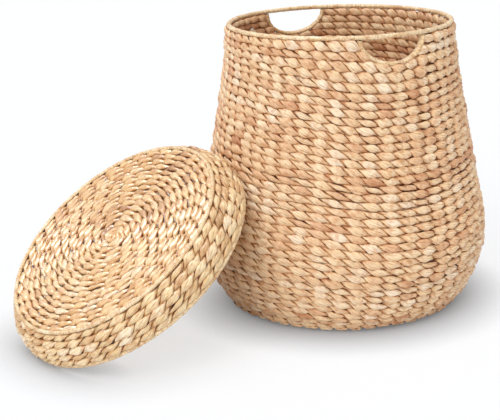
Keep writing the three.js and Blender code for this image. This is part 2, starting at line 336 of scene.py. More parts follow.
def set_ramp(node, stops):
    """Gives a colour ramp its stops, as places and hex colours."""
    ramp = node.color_ramp
    while len(ramp.elements) < len(stops):
        ramp.elements.new(0.5)
    for element, (place, colour) in zip(ramp.elements, stops):
        element.position = place
        element.color = linear(colour)


print("Middle grey in linear light:", round(linear("#808080")[0], 3))

# %% Dried water hyacinth, flattened and twined
# Real fibres are finer than half a millimetre. They are drawn this wide so that the render shows them.
FIBRE_WIDTH = 1.3 * MM
FIBRE_LENGTH = 22 * MM
BLOTCH = 9 * MM
FIBRE_RELIEF = 0.6 * MM
CREASES = [(0.34, "#A87B56"), (0.45, "#EBD6BC"), (0.56, "#FFFFFF")]
CREASE_SHARE = 0.75
PATCHES = [(0.34, "#E2BE9C"), (0.52, "#FFFFFF"), (0.7, "#FFF6DE")]
PATCH_SHARE = 0.6
# Painted shade: darker where a corner lies deep in a valley between strands or at a crossing
VALLEY_SHADE = [(0.0, "#452610"), (0.35, "#AC7C54"), (0.7, "#F6E8D8"), (1.0, "#FFFFFF")]
ROUGHER = 0.14
SMOOTHER = 0.1

# A Mix node has sockets for every kind of value, and these are the numbers of its colour ones
MIX_A = 6
MIX_B = 7
MIX_RESULT = 2


def hyacinth(name, tones, roughness, wax=0.0):
    """Straw-like strands: a tone for each grain, creased along the fibres, with painted shade in the
    valleys.
    """
    material, tree = new_finish(name)
    strand = add_node(tree, "ShaderNodeUVMap", {"uv_map": "strand"})
    stretch = (1 / FIBRE_LENGTH, 1 / FIBRE_WIDTH, 1.0)
    along = add_node(tree, "ShaderNodeMapping", None, {"Vector": strand.outputs["UV"], "Scale": stretch})
    fibres = add_node(tree, "ShaderNodeTexNoise", None,
                      {"Vector": along.outputs["Vector"], "Scale": 1.0, "Detail": 4.0, "Roughness": 0.6})
    place = add_node(tree, "ShaderNodeTexCoord")
    blotches = add_node(tree, "ShaderNodeTexNoise", None,
                        {"Vector": place.outputs["Object"], "Scale": 1 / BLOTCH, "Detail": 3.0})
    tone = add_node(tree, "ShaderNodeAttribute", {"attribute_name": "tone"})
    painted_shade_openness = add_node(tree, "ShaderNodeAttribute", {"attribute_name": "painted_shade_openness"})
    base = add_node(tree, "ShaderNodeValToRGB", None, {"Fac": tone.outputs["Fac"]})
    set_ramp(base, tones)
    colour = base.outputs["Color"]
    shades = [
        (fibres, CREASES, CREASE_SHARE),
        (blotches, PATCHES, PATCH_SHARE),
        (painted_shade_openness, VALLEY_SHADE, 1.0),
    ]
    for pattern, stops, share in shades:
        ramp = add_node(tree, "ShaderNodeValToRGB", None, {"Fac": pattern.outputs["Fac"]})
        set_ramp(ramp, stops)
        darkened = add_node(tree, "ShaderNodeMix", {"data_type": "RGBA", "blend_type": "MULTIPLY"},
                            {"Factor": share, MIX_A: colour, MIX_B: ramp.outputs["Color"]})
        colour = darkened.outputs[MIX_RESULT]
    rough = add_node(tree, "ShaderNodeMapRange", None,
                     {"Value": fibres.outputs["Fac"], "To Min": roughness + ROUGHER,
                      "To Max": roughness - SMOOTHER})
    bump = add_node(tree, "ShaderNodeBump", None,
                    {"Height": fibres.outputs["Fac"], "Strength": 0.5, "Distance": FIBRE_RELIEF})
    shader = add_node(tree, "ShaderNodeBsdfPrincipled", None,
                      {"Base Color": colour, "Roughness": rough.outputs["Result"],
                       "Normal": bump.outputs["Normal"], "IOR": 1.45, "Coat Weight": wax,
                       "Coat Roughness": 0.4, "Coat IOR": 1.5, "Coat Normal": bump.outputs["Normal"]})
    add_node(tree, "ShaderNodeOutputMaterial", None, {"Surface": shader.outputs["BSDF"]})
    return material


print("Fibres:", FIBRE_WIDTH / MM, "mm wide, blotches:", BLOTCH / MM, "mm")

# %% The four hyacinth finishes
# Twined strands of the wall and the base: dull warm straw, with brown ones among them
WALL_TONES = [(0.0, "#BC845E"), (0.2, "#DFAF88"), (0.45, "#F2D0AA"), (0.7, "#FAE0BB"), (1.0, "#FEEDD4")]
wall_finish = hyacinth("twined_water_hyacinth", WALL_TONES, roughness=0.55)

# Strands of the lid's side: paler and smoother than the wall's
LID_TONES = [(0.0, "#C29A6C"), (0.2, "#E2BE92"), (0.45, "#F2D8AC"), (0.7, "#F9E4BC"), (1.0, "#FFF1D6")]
lid_finish = hyacinth("lid_water_hyacinth", LID_TONES, roughness=0.4)

# Strands of the lid's top: golden, under a waxy coat, so that a lamp draws a sheen across them
LID_TOP_TONES = [(0.0, "#C08F5C"), (0.2, "#E2B57C"), (0.45, "#F1CC95"), (0.7, "#F9DBA9"), (1.0, "#FFECCB")]
lid_top_finish = hyacinth("polished_lid_water_hyacinth", LID_TOP_TONES, roughness=0.3, wax=1.0)

# Skin of the stem, wound round the edges: pale and even in tone
CORD_TONES = [(0.0, "#CFA877"), (0.3, "#E6C698"), (0.6, "#F3DCB4"), (1.0, "#FBEDCF")]
cord_finish = hyacinth("wound_hyacinth_skin", CORD_TONES, roughness=0.5)
print("Finishes:", [material.name for material in (wall_finish, lid_finish, lid_top_finish, cord_finish)])

# %% [markdown]
# ## Twining
#
# Two strands go round together. At every stake one passes in front and the other behind, and then they
# cross, always the same way, so a course looks like a rope of two plies and each front pass like a grain
# of rice that slants. Twisting a rope with a modifier would give every grain the same shape. Here the
# twist is a formula of the angle round the basket, with a little of the weaver's hand in it: seeded noise
# moves the crossings, swells single grains and lets whole courses wander together.

# %% Seeded irregularity
# Most that a wave shifts from course to course, in radians for each metre
WAVE_TILT = 14

# Share of a half turn in which a strand changes from one grain to the next
DIVE = 0.2


def ease(share):
    """Goes from 0 to 1 with a soft start and a soft end."""
    return share * share * (3 - 2 * share)


def wander(angle, seed, waves, size, height=0.0):
    """A smooth value that comes round to itself: a few sine waves of seeded strength, start and tilt."""
    rng = np.random.default_rng(seed)
    total = np.zeros_like(angle)
    for wave in waves:
        tilt = rng.uniform(-WAVE_TILT, WAVE_TILT)
        strength = math.sin(1.0 + rng.uniform(0, 6))
        start = rng.uniform(0, 6.28)
        total += strength * np.sin(wave * angle + start + tilt * height)
    return size * total / math.sqrt(len(waves))


def per_grain(values, turns):
    """Values that belong to half turns of a strand, run into each other where the strand dives under."""
    index = np.floor(turns).astype(int)
    share = ease(np.clip((turns - index - (1 - DIVE)) / DIVE, 0, 1))
    count = len(values)
    return values[index % count] * (1 - share) + values[(index + 1) % count] * share


print("Between two grains:", per_grain(np.array([0.0, 1.0]), np.array([0.5, 0.85, 0.9, 0.95])).round(2))

# %% Tone, plumpness and push of the grains
GRAIN_SPREAD = 0.11
STRAND_SPREAD = 0.12
PUSH = 0.35 * MM
TONE_MIDDLE = 0.53
STRAND_TONE_SPREAD = 0.13
GRAIN_TONE_SPREAD = 0.15
# Painted shade: the tone drops on the side of the basket turned away from the left-front lamp
PAINTED_SHADE_SIDE = math.radians(140)
PAINTED_SHADE_BY = 0.12


def draw_grains(rng, crossings, ply, turns, theta):
    """Each grain of each strand gets its own values, and shade is painted on one side of the basket."""
    size = rng.normal(1, GRAIN_SPREAD, (2, crossings)) * rng.normal(1, STRAND_SPREAD, (2, 1))
    push = rng.normal(0, PUSH, (2, crossings))
    strand_tone = rng.normal(TONE_MIDDLE, STRAND_TONE_SPREAD, (2, 1))
    shade = np.clip(strand_tone + rng.normal(0, GRAIN_TONE_SPREAD, (2, crossings)), 0, 1)
    tone, plump, proud = [
        np.where(ply == 0, per_grain(values[0], turns), per_grain(values[1], turns))
        for values in (shade, size, push)
    ]
    return tone - PAINTED_SHADE_BY * np.cos(theta - PAINTED_SHADE_SIDE), plump, proud


print("Grains differ by", GRAIN_SPREAD, "in size and", GRAIN_TONE_SPREAD, "in tone")

# %% [markdown]
# ## The section of a strand
#
# In front of a stake a strand lies wide and flat, like a ribbon. Where it dives to the back it is pinched
# between its neighbours, and there it has to fill the height of the course, or light would show through.
# A bevelled curve keeps one section all the way, so the section is worked out at every ring of the tube:
# its width, its thickness, a taper towards the crossing in front, and some backing where nobody sees it.
# The same sums tell how deep a corner lies in the valleys, and the finish paints shade into its colour
# there. The shade is darkest at the crossings, where the filled section stands in for a dark gap.

# %% Where the skin of a strand lies
# Half sizes of a grain, and how far a strand lies from the middle, where courses are this far apart
USUAL_PITCH = 11.6 * MM
PLY_OFFSET = 3.0 * MM
PLY_THICK = 3.3 * MM
PLY_WIDE = 6.4 * MM
SECTION_POWER = 0.82

# Shares of width and of thickness that are left at a crossing, at the least
CROSSING_WIDTH = 0.45
LEAST_PINCH = 0.4

# The front half of a strand tapers towards the crossing, and the back half swells a little
TAPER = 0.3
TAPER_REACH = 0.45
BACK_SWELL = 0.3

# Depth over which painted shade darkens the valley between two strands, and how near to the next course it
# is painted
VALLEY = 1.25 * MM
TOUCH = 1.12
TOUCH_ON_CROWN = 0.19
TOUCH_FADE = 0.3


def flattened(wave):
    """Pulls a circle towards a rounded square, as a pressed strand has it."""
    return np.sign(wave) * np.abs(wave) ** SECTION_POWER


def strand_skin(twist, around, lean, plump, proud, pitch, fill, backing):
    """How far each corner lies outward and upward from the middle of its course, and how open it lies, which
    sets its painted valley shade.
    """
    size = pitch / USUAL_PITCH
    full = np.cos(twist) ** 2
    offset = PLY_OFFSET * size + proud
    slant = lean * offset
    wide = PLY_WIDE * size * (CROSSING_WIDTH + (1 - CROSSING_WIDTH) * full) * plump
    pinch = np.maximum(fill * 0.5 * pitch - slant, LEAST_PINCH * PLY_THICK * size)
    thick = pinch + (PLY_THICK * size * plump - pinch) * full
    bulge = thick * flattened(np.cos(around))
    side = wide * flattened(np.sin(around))
    outward = (offset + bulge) * np.cos(twist) - side * np.sin(twist)
    upward = (slant + bulge) * np.sin(twist) + side * np.cos(twist)
    front = np.clip(outward / (TAPER_REACH * PLY_WIDE * size), -BACK_SWELL, 1)
    behind = backing * full * (1 - full) * np.clip(-outward / (PLY_OFFSET * size), 0, 1)
    upward = upward * (1 - TAPER * (1 - full) * front + behind)

    own_out = offset * np.cos(twist)
    own_up = slant * np.sin(twist)
    from_partner = (outward * own_out + upward * own_up) / np.hypot(own_out, own_up)
    to_next_course = TOUCH + TOUCH_ON_CROWN * full - np.abs(upward) / (0.5 * pitch)
    painted_shade_openness = np.minimum(from_partner / (VALLEY * size), to_next_course / TOUCH_FADE)
    return outward, upward, np.clip(painted_shade_openness, 0, 1)


crown = strand_skin(np.zeros(1), np.zeros(1), lean=0.6, plump=1.0, proud=0.0, pitch=USUAL_PITCH,
                    fill=1.0, backing=0.0)
print("A grain's crown stands", round(crown[0][0] / MM, 1), "mm out, open air", crown[2][0])

# %% Lean of the grains, and ends of strands
LEAN = 0.62
LEAN_TWICE_ROUND = 0.3
LEAN_ONCE_ROUND = 0.2
STEEP_SIDE = math.radians(-50)
LEVEL_SIDE = math.radians(40)
PRESSED_LENGTH = 20 * MM
PRESSED_FLAT = 0.5
SHUT_LENGTH = 0.01 * MM


def wall_lean(theta):
    """How much the grains slant: most where the strands are pulled down to the next course."""
    twice = np.cos(2 * (theta - STEEP_SIDE))
    once = np.cos(theta - LEVEL_SIDE)
    return LEAN + LEAN_TWICE_ROUND * twice - LEAN_ONCE_ROUND * once


def no_drift(theta, at):
    """For courses that lie true."""
    return np.zeros_like(theta)


def pressed_ends(along, length):
    """How much depth is left where a strand is pressed flat near its ends, and where it is shut."""
    reach = np.minimum(along, 1 - along) * length
    depth_left = PRESSED_FLAT + (1 - PRESSED_FLAT) * ease(np.clip(reach / PRESSED_LENGTH, 0, 1))
    return depth_left, np.where(reach < SHUT_LENGTH, 0, 1)


print("Lean in front:", round(float(wall_lean(0.0)), 2), "and behind:", round(float(wall_lean(math.pi)), 2))

# %% One course of two twisted strands
SIDES = 10
RINGS_PER_CROSSING = 8
GRAIN_LENGTH = 24 * MM
CROSSING_WAVES = (3, 8, 17, 29, 41)
CROSSING_WANDER = 0.3
WEAVE_DEPTH = 6.0 * MM
SEED_STEP = 3
FEWEST_PASSES = 3

# How much a strand lingers in front and behind before it crosses
FRONT_REST = 0.3


def twined_course(name, line, at, crossings, seed, body, nodes, finish,
                  arc=None, drift=no_drift, pitch=USUAL_PITCH, depth=WEAVE_DEPTH, hand=-1, lean=wall_lean,
                  fill=1.03, loose=0.6, backing=0.0):
    """Two strands that twist round each other along a line, all the way round or over an arc.

    fill is the share of a course's height that a crossing fills, loose the most that its twist is
    shifted, and backing how much the hidden side of a strand is padded against gaps.
    """
    rng = np.random.default_rng(seed)
    start, end = arc or (0.0, 2 * math.pi)
    passes = max(FEWEST_PASSES, round(crossings * (end - start) / (2 * math.pi)))
    ring_step = GRAIN_LENGTH / RINGS_PER_CROSSING
    tubes = tubes_for(RINGS_PER_CROSSING * passes, SIDES, arc is None, 2, ring_step, False)
    ply = tubes["ply"].astype(int)
    theta = start + (end - start) * tubes["along"]
    squeeze = 1 + (drift(theta, at + MM) - drift(theta, at - MM)) / (2 * MM)
    radius, height, run_r, run_z = follow(line, at + drift(theta, at))

    phase = math.pi * ply + hand * crossings / 2 * theta
    phase = phase + rng.uniform(-loose, loose) + wander(theta, seed + 1, CROSSING_WAVES, CROSSING_WANDER)
    twist = phase - FRONT_REST * np.sin(2 * phase)
    turns = phase / math.pi + 0.5
    tone, plump, proud = draw_grains(rng, crossings, ply, turns, theta)

    around = 2 * math.pi * tubes["around"] + math.pi
    skin = strand_skin(twist, around, lean(theta), plump, proud, pitch, fill, backing)
    outward, upward, painted_shade_openness = skin
    upward = upward * squeeze
    if arc is not None:
        depth_left, shut = pressed_ends(tubes["along"], (end - start) * radius)
        outward = outward * depth_left * shut
        upward = upward * shut
    far = radius + (outward - depth) * run_z + upward * run_r
    high = height - (outward - depth) * run_r + upward * run_z
    places = np.stack([far * np.cos(theta), far * np.sin(theta), high], axis=1)
    return add_piece(name, tubes, places, tone, painted_shade_openness, body, nodes, finish)


print("A grain has", RINGS_PER_CROSSING, "rings of", SIDES, "sides")

# %% [markdown]
# ## The rows of the wall
#
# The wall has 38 courses from foot to rim. Copies of one ring would all lie level, and the rows in the
# photograph don't: they wander, they drop where the weaver moves on to the next course, and they sag under
# the hoops of the two hand holes. So every row is moved along the wall by a drift that depends on the
# angle, and neighbours drift together, because the drift is one smooth function of angle and height.

# %% Rows that wander, step down and sag
WALL_COURSES = 38
WALL_LENGTH = wall_line["at"][-1]
WALL_PITCH = WALL_LENGTH / WALL_COURSES
WALL_WAVES = (2, 3, 5, 7, 9)
WALL_WANDER = 1.3 * MM
WALL_WANDER_SEED = 11
CALM_LENGTH = 60 * MM
HANDLE_HALF = 49 * MM
HANDLE_DROP = 35 * MM
HOOP_INSET = 6.5 * MM
HOOP_RADIUS = RIM_RADIUS * MM - HOOP_INSET
SAG = 2.0 * MM
SAG_HALF_WIDTH = 28 * MM
SAG_FROM = 40 * MM
SAG_FADE = 70 * MM

# Each step: its middle and half its width in degrees, and how many courses the rows drop there
STEPS = [(-28, 25, 1.5), (-66, 18, 0.9), (-100, 18, 0.9), (22, 14, -0.35)]


def step_down(theta):
    """Courses dropped where the weaver moves on; they are won back slowly on the way round."""
    total = np.zeros_like(theta)
    for middle, half, courses in STEPS:
        half_width = math.radians(half)
        turn = (theta - math.radians(middle) + math.pi) % (2 * math.pi) - math.pi
        back = np.sign(turn) * (math.pi - np.abs(turn)) / (math.pi - half_width)
        drop = np.sin(turn / half_width * math.pi / 2)
        total -= courses / 2 * np.where(np.abs(turn) < half_width, drop, back)
    return total


def wall_drift(theta, at):
    """How far a course is moved along the wall: slow wandering, the steps, and the sag under the hoops."""
    loose = wander(theta, WALL_WANDER_SEED, WALL_WAVES, WALL_WANDER, at) + step_down(theta) * WALL_PITCH
    calm = np.clip((WALL_LENGTH - at) / CALM_LENGTH, 0, 1) * np.clip(at / CALM_LENGTH, 0, 1)
    aside = HOOP_RADIUS * np.sin(theta)
    fade = 1 - ease(np.clip((WALL_LENGTH - at - SAG_FROM) / SAG_FADE, 0, 1))
    return loose * calm - SAG * np.exp(-((aside / SAG_HALF_WIDTH) ** 2)) * fade


row_angles = np.linspace(-math.pi, math.pi, 360)
belly_row = wall_drift(row_angles, WALL_LENGTH / 2)
print("A row at half height rises and falls by", round((belly_row.max() - belly_row.min()) / MM, 1), "mm")

# %% [markdown]
# ## Rows that meet a hoop
#
# Close under the rim two hoops of bent wire frame the hand holes. A row that comes to a hoop is pressed
# together and passes below it where there is room, and otherwise ends in the wedge beside it. Whole rings
# could be cut with a Boolean, but that leaves sharp edges. Here the room under the hoop is worked out
# first, and a row is then made as one ring, or as one or two arcs with pressed, closed ends.

# %% Room under the hoops, and the arcs that are left
HOOP_UNDERSIDE = HANDLE_DROP + 1.5 * MM
ROW_END_HEIGHT = 2.5 * MM
HOLE_SAMPLES = 400


def room_under_hoop(theta, row_foot):
    """Foot of a course at each angle, and the height that a hoop above it leaves free."""
    aside = HOOP_RADIUS * np.sin(theta)
    under = HOOP_UNDERSIDE * np.sqrt(np.clip(1 - (aside / HANDLE_HALF) ** 2, 0, 1))
    foot = row_foot + wall_drift(theta, row_foot)
    return foot, WALL_LENGTH - under - foot


def row_drift(row_foot):
    """The drift of one course, squeezed where a hoop leaves it less than its own height."""
    def drift(theta, at):
        foot, room = room_under_hoop(theta, row_foot)
        row_top = row_foot + WALL_PITCH
        share = np.clip(room / (row_top + wall_drift(theta, row_top) - foot), 0, 1)
        return foot + (at + wall_drift(theta, at) - foot) * share - at
    return drift


def hole_in_row(row_foot, direction):
    """The two angles between which this hoop stops a course, or nothing if it passes below."""
    reach = math.asin(HANDLE_HALF / HOOP_RADIUS)
    theta = direction + np.linspace(-reach, reach, HOLE_SAMPLES)
    stopped = theta[room_under_hoop(theta, row_foot)[1] < ROW_END_HEIGHT]
    return (stopped[0], stopped[-1]) if len(stopped) else None


def arcs_of_row(row_foot):
    """The stretches of a course between the hoops that stop it; a course that nothing stops is one ring."""
    holes = [hole for hole in (hole_in_row(row_foot, 0.0), hole_in_row(row_foot, math.pi)) if hole]
    if not holes:
        return [None]
    starts = [hole[1] for hole in holes]
    ends = [hole[0] for hole in holes[1:]] + [holes[0][0] + 2 * math.pi]
    return list(zip(starts, ends))


stopped_rows = sum(arcs_of_row(k * WALL_PITCH) != [None] for k in range(WALL_COURSES))
print("Rows that a hoop stops:", stopped_rows, "of", WALL_COURSES)

# %% [markdown]
# ## The wall
#
# Every course has about 50 grains, foot and belly and rim alike, because the stakes run right up: that is
# why the grains are longer at the belly. An Array modifier would repeat one course and its irregularities
# with it, so each is made with a seed of its own. The lowest three lie a little deeper, to pass inside the
# foot's rounding.

# %% Courses of the wall
WALL_CROSSINGS = 50
WALL_SEED = 100
WALL_BACKING = 0.9
FOOT_COURSES = 3
FOOT_DEPTH = 8.2 * MM

wall_pieces = []
for k in range(WALL_COURSES):
    row_foot = k * WALL_PITCH
    arcs = arcs_of_row(row_foot)
    for number, arc in enumerate(arcs):
        ending = "" if len(arcs) == 1 else ("_right", "_left")[number]
        wall_pieces.append(twined_course(
            f"wall_course_{k + 1:02d}{ending}", wall_line, (k + 0.5) * WALL_PITCH, WALL_CROSSINGS,
            WALL_SEED + SEED_STEP * k + number, "basket", ["wall_weave"], wall_finish,
            arc=arc, drift=row_drift(row_foot), pitch=WALL_PITCH,
            depth=FOOT_DEPTH if k < FOOT_COURSES else WEAVE_DEPTH, backing=WALL_BACKING))
print("Wall pieces:", len(wall_pieces))

# %% [markdown]
# ## The lid's weave
#
# The lid starts as a flat coil in the middle and turns over an edge wire into a short side. The strands
# keep their width while the circle grows, so stakes are added on the way out, about one for every 26 mm
# of the circle. One long spiral would be truer, but rings can share their rolled grids, and the step of a
# spiral hardly shows. The lid leans against the basket, so its courses are made upright about the lid's
# own axis and then put in place by the lid's matrix, the same one that the CAD model uses.

# %% Where the lid leans
LID_PLACE = Vector((23.066, -347.279, 114.523)) * MM
LID_TILT = math.radians(37.35)
LID_LEAN = math.radians(-79.2)

lid_aside = Vector((math.cos(LID_LEAN), math.sin(LID_LEAN), 0.0))
lid_axis = math.sin(LID_TILT) * lid_aside + Vector((0.0, 0.0, math.cos(LID_TILT)))
lid_turn = Vector((0, 0, 1)).rotation_difference(lid_axis)
BODY_PLACE["lid"] = Matrix.Translation(LID_PLACE) @ lid_turn.to_matrix().to_4x4()
print("Lid tilted by", round(math.degrees(lid_turn.angle), 2), "degrees")

# %% Courses of the lid's top
LID_TOP_COURSES = 17
LID_TOP_SEED = 400
LID_TOP_LOOSE = 1.6
LID_TOP_BACKING = 1.2
LID_TOP_LEAN = 0.3
LID_TOP_CALM = 20 * MM
LID_TOP_WANDER = 0.9 * MM
LID_TOP_WANDER_SEED = 23
LID_TOP_WAVES = (1, 2, 3, 5)
LID_FILL = 1.06
DISC_GRAIN = 26 * MM
FEWEST_CROSSINGS = 4
lid_top_length = lid_top_line["at"][-1]
lid_top_pitch = lid_top_length / LID_TOP_COURSES


def disc_crossings(radius):
    """Stakes are added on the way out, so that the grains keep their length."""
    return max(FEWEST_CROSSINGS, 2 * round(math.pi * radius / DISC_GRAIN))


def lid_top_lean(theta):
    """The grains of the top slant only a little."""
    return LID_TOP_LEAN


def lid_top_drift(theta, at):
    """The rings wander a little, apart from the outermost, which keeps to the edge cord."""
    calm = np.clip(at / LID_TOP_CALM, 0, 1)
    return wander(theta, LID_TOP_WANDER_SEED, LID_TOP_WAVES, LID_TOP_WANDER, at) * calm


# The innermost course gives way to a curled strand, which is made further below
for k in range(LID_TOP_COURSES - 1):
    at = (k + 0.5) * lid_top_pitch
    twined_course(f"lid_top_course_{k + 1:02d}", lid_top_line, at, disc_crossings(lid_top_length - at),
                  LID_TOP_SEED + SEED_STEP * k, "lid", ["lid_top_weave"], lid_top_finish,
                  drift=lid_top_drift, pitch=lid_top_pitch, hand=1, lean=lid_top_lean, fill=LID_FILL,
                  loose=LID_TOP_LOOSE, backing=LID_TOP_BACKING)
print("Lid top courses:", LID_TOP_COURSES - 1, "at", round(lid_top_pitch / MM, 1), "mm")

# %% Courses of the lid's side
LID_SIDE_COURSES = 5
LID_SIDE_CROSSINGS = 44
LID_SIDE_SEED = 500
LID_SIDE_LOOSE = 1.0
LID_SIDE_LEAN = 0.6
LID_SIDE_CALM = 12 * MM
LID_SIDE_WANDER = 0.8 * MM
LID_SIDE_WANDER_SEED = 31
LID_SIDE_WAVES = (2, 3, 5)
RIM_CORD_ROOM = 4.6 * MM
EDGE_CORD_ROOM = 2.4 * MM
side_low = RIM_CORD_ROOM
side_high = lid_line["at"][-1] - EDGE_CORD_ROOM
lid_side_pitch = (side_high - side_low) / LID_SIDE_COURSES


def lid_side_lean(theta):
    """The grains of the side slant about as much as the wall's do on average."""
    return LID_SIDE_LEAN


def lid_side_drift(theta, at):
    """The rows wander in the middle of the side and lie true along both cords."""
    calm = np.clip(np.minimum(at - side_low, side_high - at) / LID_SIDE_CALM, 0, 1)
    return wander(theta, LID_SIDE_WANDER_SEED, LID_SIDE_WAVES, LID_SIDE_WANDER, at) * calm


for k in range(LID_SIDE_COURSES):
    at = side_low + (k + 0.5) * lid_side_pitch
    twined_course(f"lid_side_course_{k + 1}", lid_line, at, LID_SIDE_CROSSINGS,
                  LID_SIDE_SEED + SEED_STEP * k, "lid", ["lid_side_weave"], lid_finish,
                  drift=lid_side_drift, pitch=lid_side_pitch, hand=1, lean=lid_side_lean, fill=LID_FILL,
                  loose=LID_SIDE_LOOSE)
print("Lid side courses:", LID_SIDE_COURSES, "at", round(lid_side_pitch / MM, 1), "mm")

# %% [markdown]
# ## The base
#
# The base is woven as the lid's top is, from the middle outwards, and lies flat on the floor. It shows
# from below, and from above through the open mouth. A plain disc with a picture of weave would do for a
# glance from above, but not from below, so it gets real courses too. They lie true, as the floor keeps
# them.

# %% Courses of the base
BASE_COURSES = 15
BASE_SEED = 600
BASE_DEPTH = 8.4 * MM
base_pitch = base_line["at"][-1] / BASE_COURSES

# Here too the innermost course gives way to a curled strand
for k in range(1, BASE_COURSES):
    at = (k + 0.5) * base_pitch
    twined_course(f"base_course_{k + 1:02d}", base_line, at, disc_crossings(at), BASE_SEED + SEED_STEP * k,
                  "basket", ["base_weave"], wall_finish, pitch=base_pitch, depth=BASE_DEPTH)
print("Base courses:", BASE_COURSES - 1, "at", round(base_pitch / MM, 1), "mm")

# %% [markdown]
# ## Wound cords
#
# The edge wires, and the hoops of the hand holes, are covered with a pale strand wound tightly round them.
# A plain pipe would look like cane, and a strand swept round the wire as a helix would hide most of its
# faces. The winding shows as slanting steps, so the section of a tube grows a little over each turn of the
# strand and drops back where the next turn begins.

# %% Wind a strand round an edge
TURN_WIDTH = 9 * MM
RINGS_PER_TURN = 6
TURN_LOW = 0.95
TURN_SWELL = 0.09
TURN_SHARE = 0.85
TURN_ROUNDING = 0.6
CORD_WANDER = 0.03
CORD_WAVES = (7, 11, 23)
CORD_TONE = 0.7
CORD_TONE_SPREAD = 0.17
# Painted shade in the seam where one turn of the strand meets the next: its openness starts this low there
SEAM_PAINTED_SHADE = 0.45
SEAM_FADE = 3 * MM


def wound_cord(name, path, length, thick, high, seed, body, nodes, loop, turn_width=TURN_WIDTH):
    """path gives the centre, and the two ways across the cord, at shares of its length."""
    rng = np.random.default_rng(seed)
    turns = round(length / turn_width)
    tubes = tubes_for(RINGS_PER_TURN * turns, SIDES, loop, 1, turn_width / RINGS_PER_TURN, True)
    along, around = tubes["along"], tubes["around"]
    winding = turns * along + around
    step = winding - np.floor(winding)
    swell = np.sin(math.pi * np.clip(step / TURN_SHARE, 0, 1)) ** TURN_ROUNDING
    lift = TURN_LOW + TURN_SWELL * swell + wander(2 * math.pi * along, seed + 1, CORD_WAVES, CORD_WANDER)
    shade = np.clip(rng.normal(CORD_TONE, CORD_TONE_SPREAD, turns), 0, 1)
    tone = shade[np.floor(winding).astype(int) % turns]
    # Painted shade: darker where each turn begins, in the seam against the last turn
    painted_shade_openness = np.clip(SEAM_PAINTED_SHADE + step * turn_width / SEAM_FADE, 0, 1)
    centre, outward, upward = path(along)
    angle = 2 * math.pi * around
    places = centre + outward * (thick * lift * np.cos(angle))[:, None]
    places = places + upward * (high * lift * np.sin(angle))[:, None]
    return add_piece(name, tubes, places, tone, painted_shade_openness, body, nodes, cord_finish)


print("A turn of the strand covers", TURN_WIDTH / MM, "mm of the wire, if nothing else is said")

# %% Ways that the cords take
HOOP_TOP = 420.4 * MM
HOOP_SAMPLES = 200


def ring_path(radius, height):
    """The way of a level ring."""
    def path(along):
        angle = 2 * math.pi * along
        outward = np.stack([np.cos(angle), np.sin(angle), np.zeros_like(angle)], axis=1)
        upward = np.tile([0.0, 0.0, 1.0], (len(angle), 1))
        return radius * outward + height * upward, outward, upward
    return path


def unit(ways):
    """The same ways, each of length one."""
    return ways / np.linalg.norm(ways, axis=1)[:, None]


def hoop_path(direction):
    """The way of a hoop: half an ellipse that hangs from the rim and lies on the wall."""
    def path(along):
        angle = math.pi * along
        aside = HANDLE_HALF * np.cos(angle)
        height = HOOP_TOP - HANDLE_DROP * np.sin(angle)
        reach = np.interp(height, wall_line["points"][:, 1], wall_line["points"][:, 0]) - HOOP_INSET
        forward = np.sqrt(reach ** 2 - aside ** 2)
        level = np.zeros_like(height)
        outward = unit(np.stack([direction * forward, direction * aside, level], axis=1))
        centre = np.stack([direction * forward, direction * aside, height], axis=1)
        sideways = -direction * HANDLE_HALF * np.sin(angle)
        along_hoop = np.stack([level, sideways, -HANDLE_DROP * np.cos(angle)], axis=1)
        return centre, outward, unit(np.cross(outward, along_hoop))
    return path


hoop_line = hoop_path(1)(np.linspace(0, 1, HOOP_SAMPLES))[0]
hoop_steps = np.linalg.norm(np.diff(hoop_line, axis=0), axis=1)
hoop_length = hoop_steps.sum()
print("A hoop is", round(hoop_length / MM, 1), "mm long")

# %% The five cords
RIM_CORD_RADIUS = 164.0 * MM
RIM_CORD_HEIGHT = 424.0 * MM
LID_RIM_CORD_RADIUS = 188.2 * MM
LID_RIM_CORD_HEIGHT = 3.0 * MM
LID_EDGE_CORD_RADIUS = 169.2 * MM
LID_EDGE_CORD_HEIGHT = 51.6 * MM

wound_cord("rim_cord", ring_path(RIM_CORD_RADIUS, RIM_CORD_HEIGHT), 2 * math.pi * RIM_CORD_RADIUS,
           thick=3.6 * MM, high=3.2 * MM, seed=700, body="basket", nodes=["rim_binding"], loop=True,
           turn_width=20 * MM)
for name, direction, seed in (("front_handle", 1, 710), ("back_handle", -1, 720)):
    wound_cord(f"{name}_cord", hoop_path(direction), hoop_length,
               thick=5.2 * MM, high=3.0 * MM, seed=seed, body="basket", nodes=[f"{name}_binding"],
               loop=False, turn_width=13 * MM)
wound_cord("lid_rim_cord", ring_path(LID_RIM_CORD_RADIUS, LID_RIM_CORD_HEIGHT),
           2 * math.pi * LID_RIM_CORD_RADIUS,
           thick=3.4 * MM, high=3.1 * MM, seed=730, body="lid", nodes=["lid_rim_binding"], loop=True)
wound_cord("lid_edge_cord", ring_path(LID_EDGE_CORD_RADIUS, LID_EDGE_CORD_HEIGHT),
           2 * math.pi * LID_EDGE_CORD_RADIUS,
           thick=2.8 * MM, high=2.8 * MM, seed=740, body="lid", nodes=["lid_edge_binding"], loop=True,
           turn_width=22 * MM)
print("Cords: rim, two hoops, lid rim, lid edge")

# %% [markdown]
# ## Middles
#
# Where base and lid begin, a single strand is curled up tightly and its end tucked under. A disc would
# leave a bald spot, and one more twined ring has no room there, so a short strand follows a spiral and
# rounds off at both ends.

# %% Curl of strand in the middle of lid and base
CURL_TURNS = 1.6
CURL_OUT = 9.5 * MM
CURL_IN = 2.2 * MM
CURL_WIDE = 3.4 * MM
CURL_HIGH = 5.2 * MM
CURL_DEPTH = 6 * MM
CURL_RINGS = 60
CURL_RING_STEP = 1.3 * MM
CURL_NOSES = 8
CURL_TONE = 0.45
CURL_TONE_WANDER = 0.15
CURL_TONE_WAVES = (1, 3)


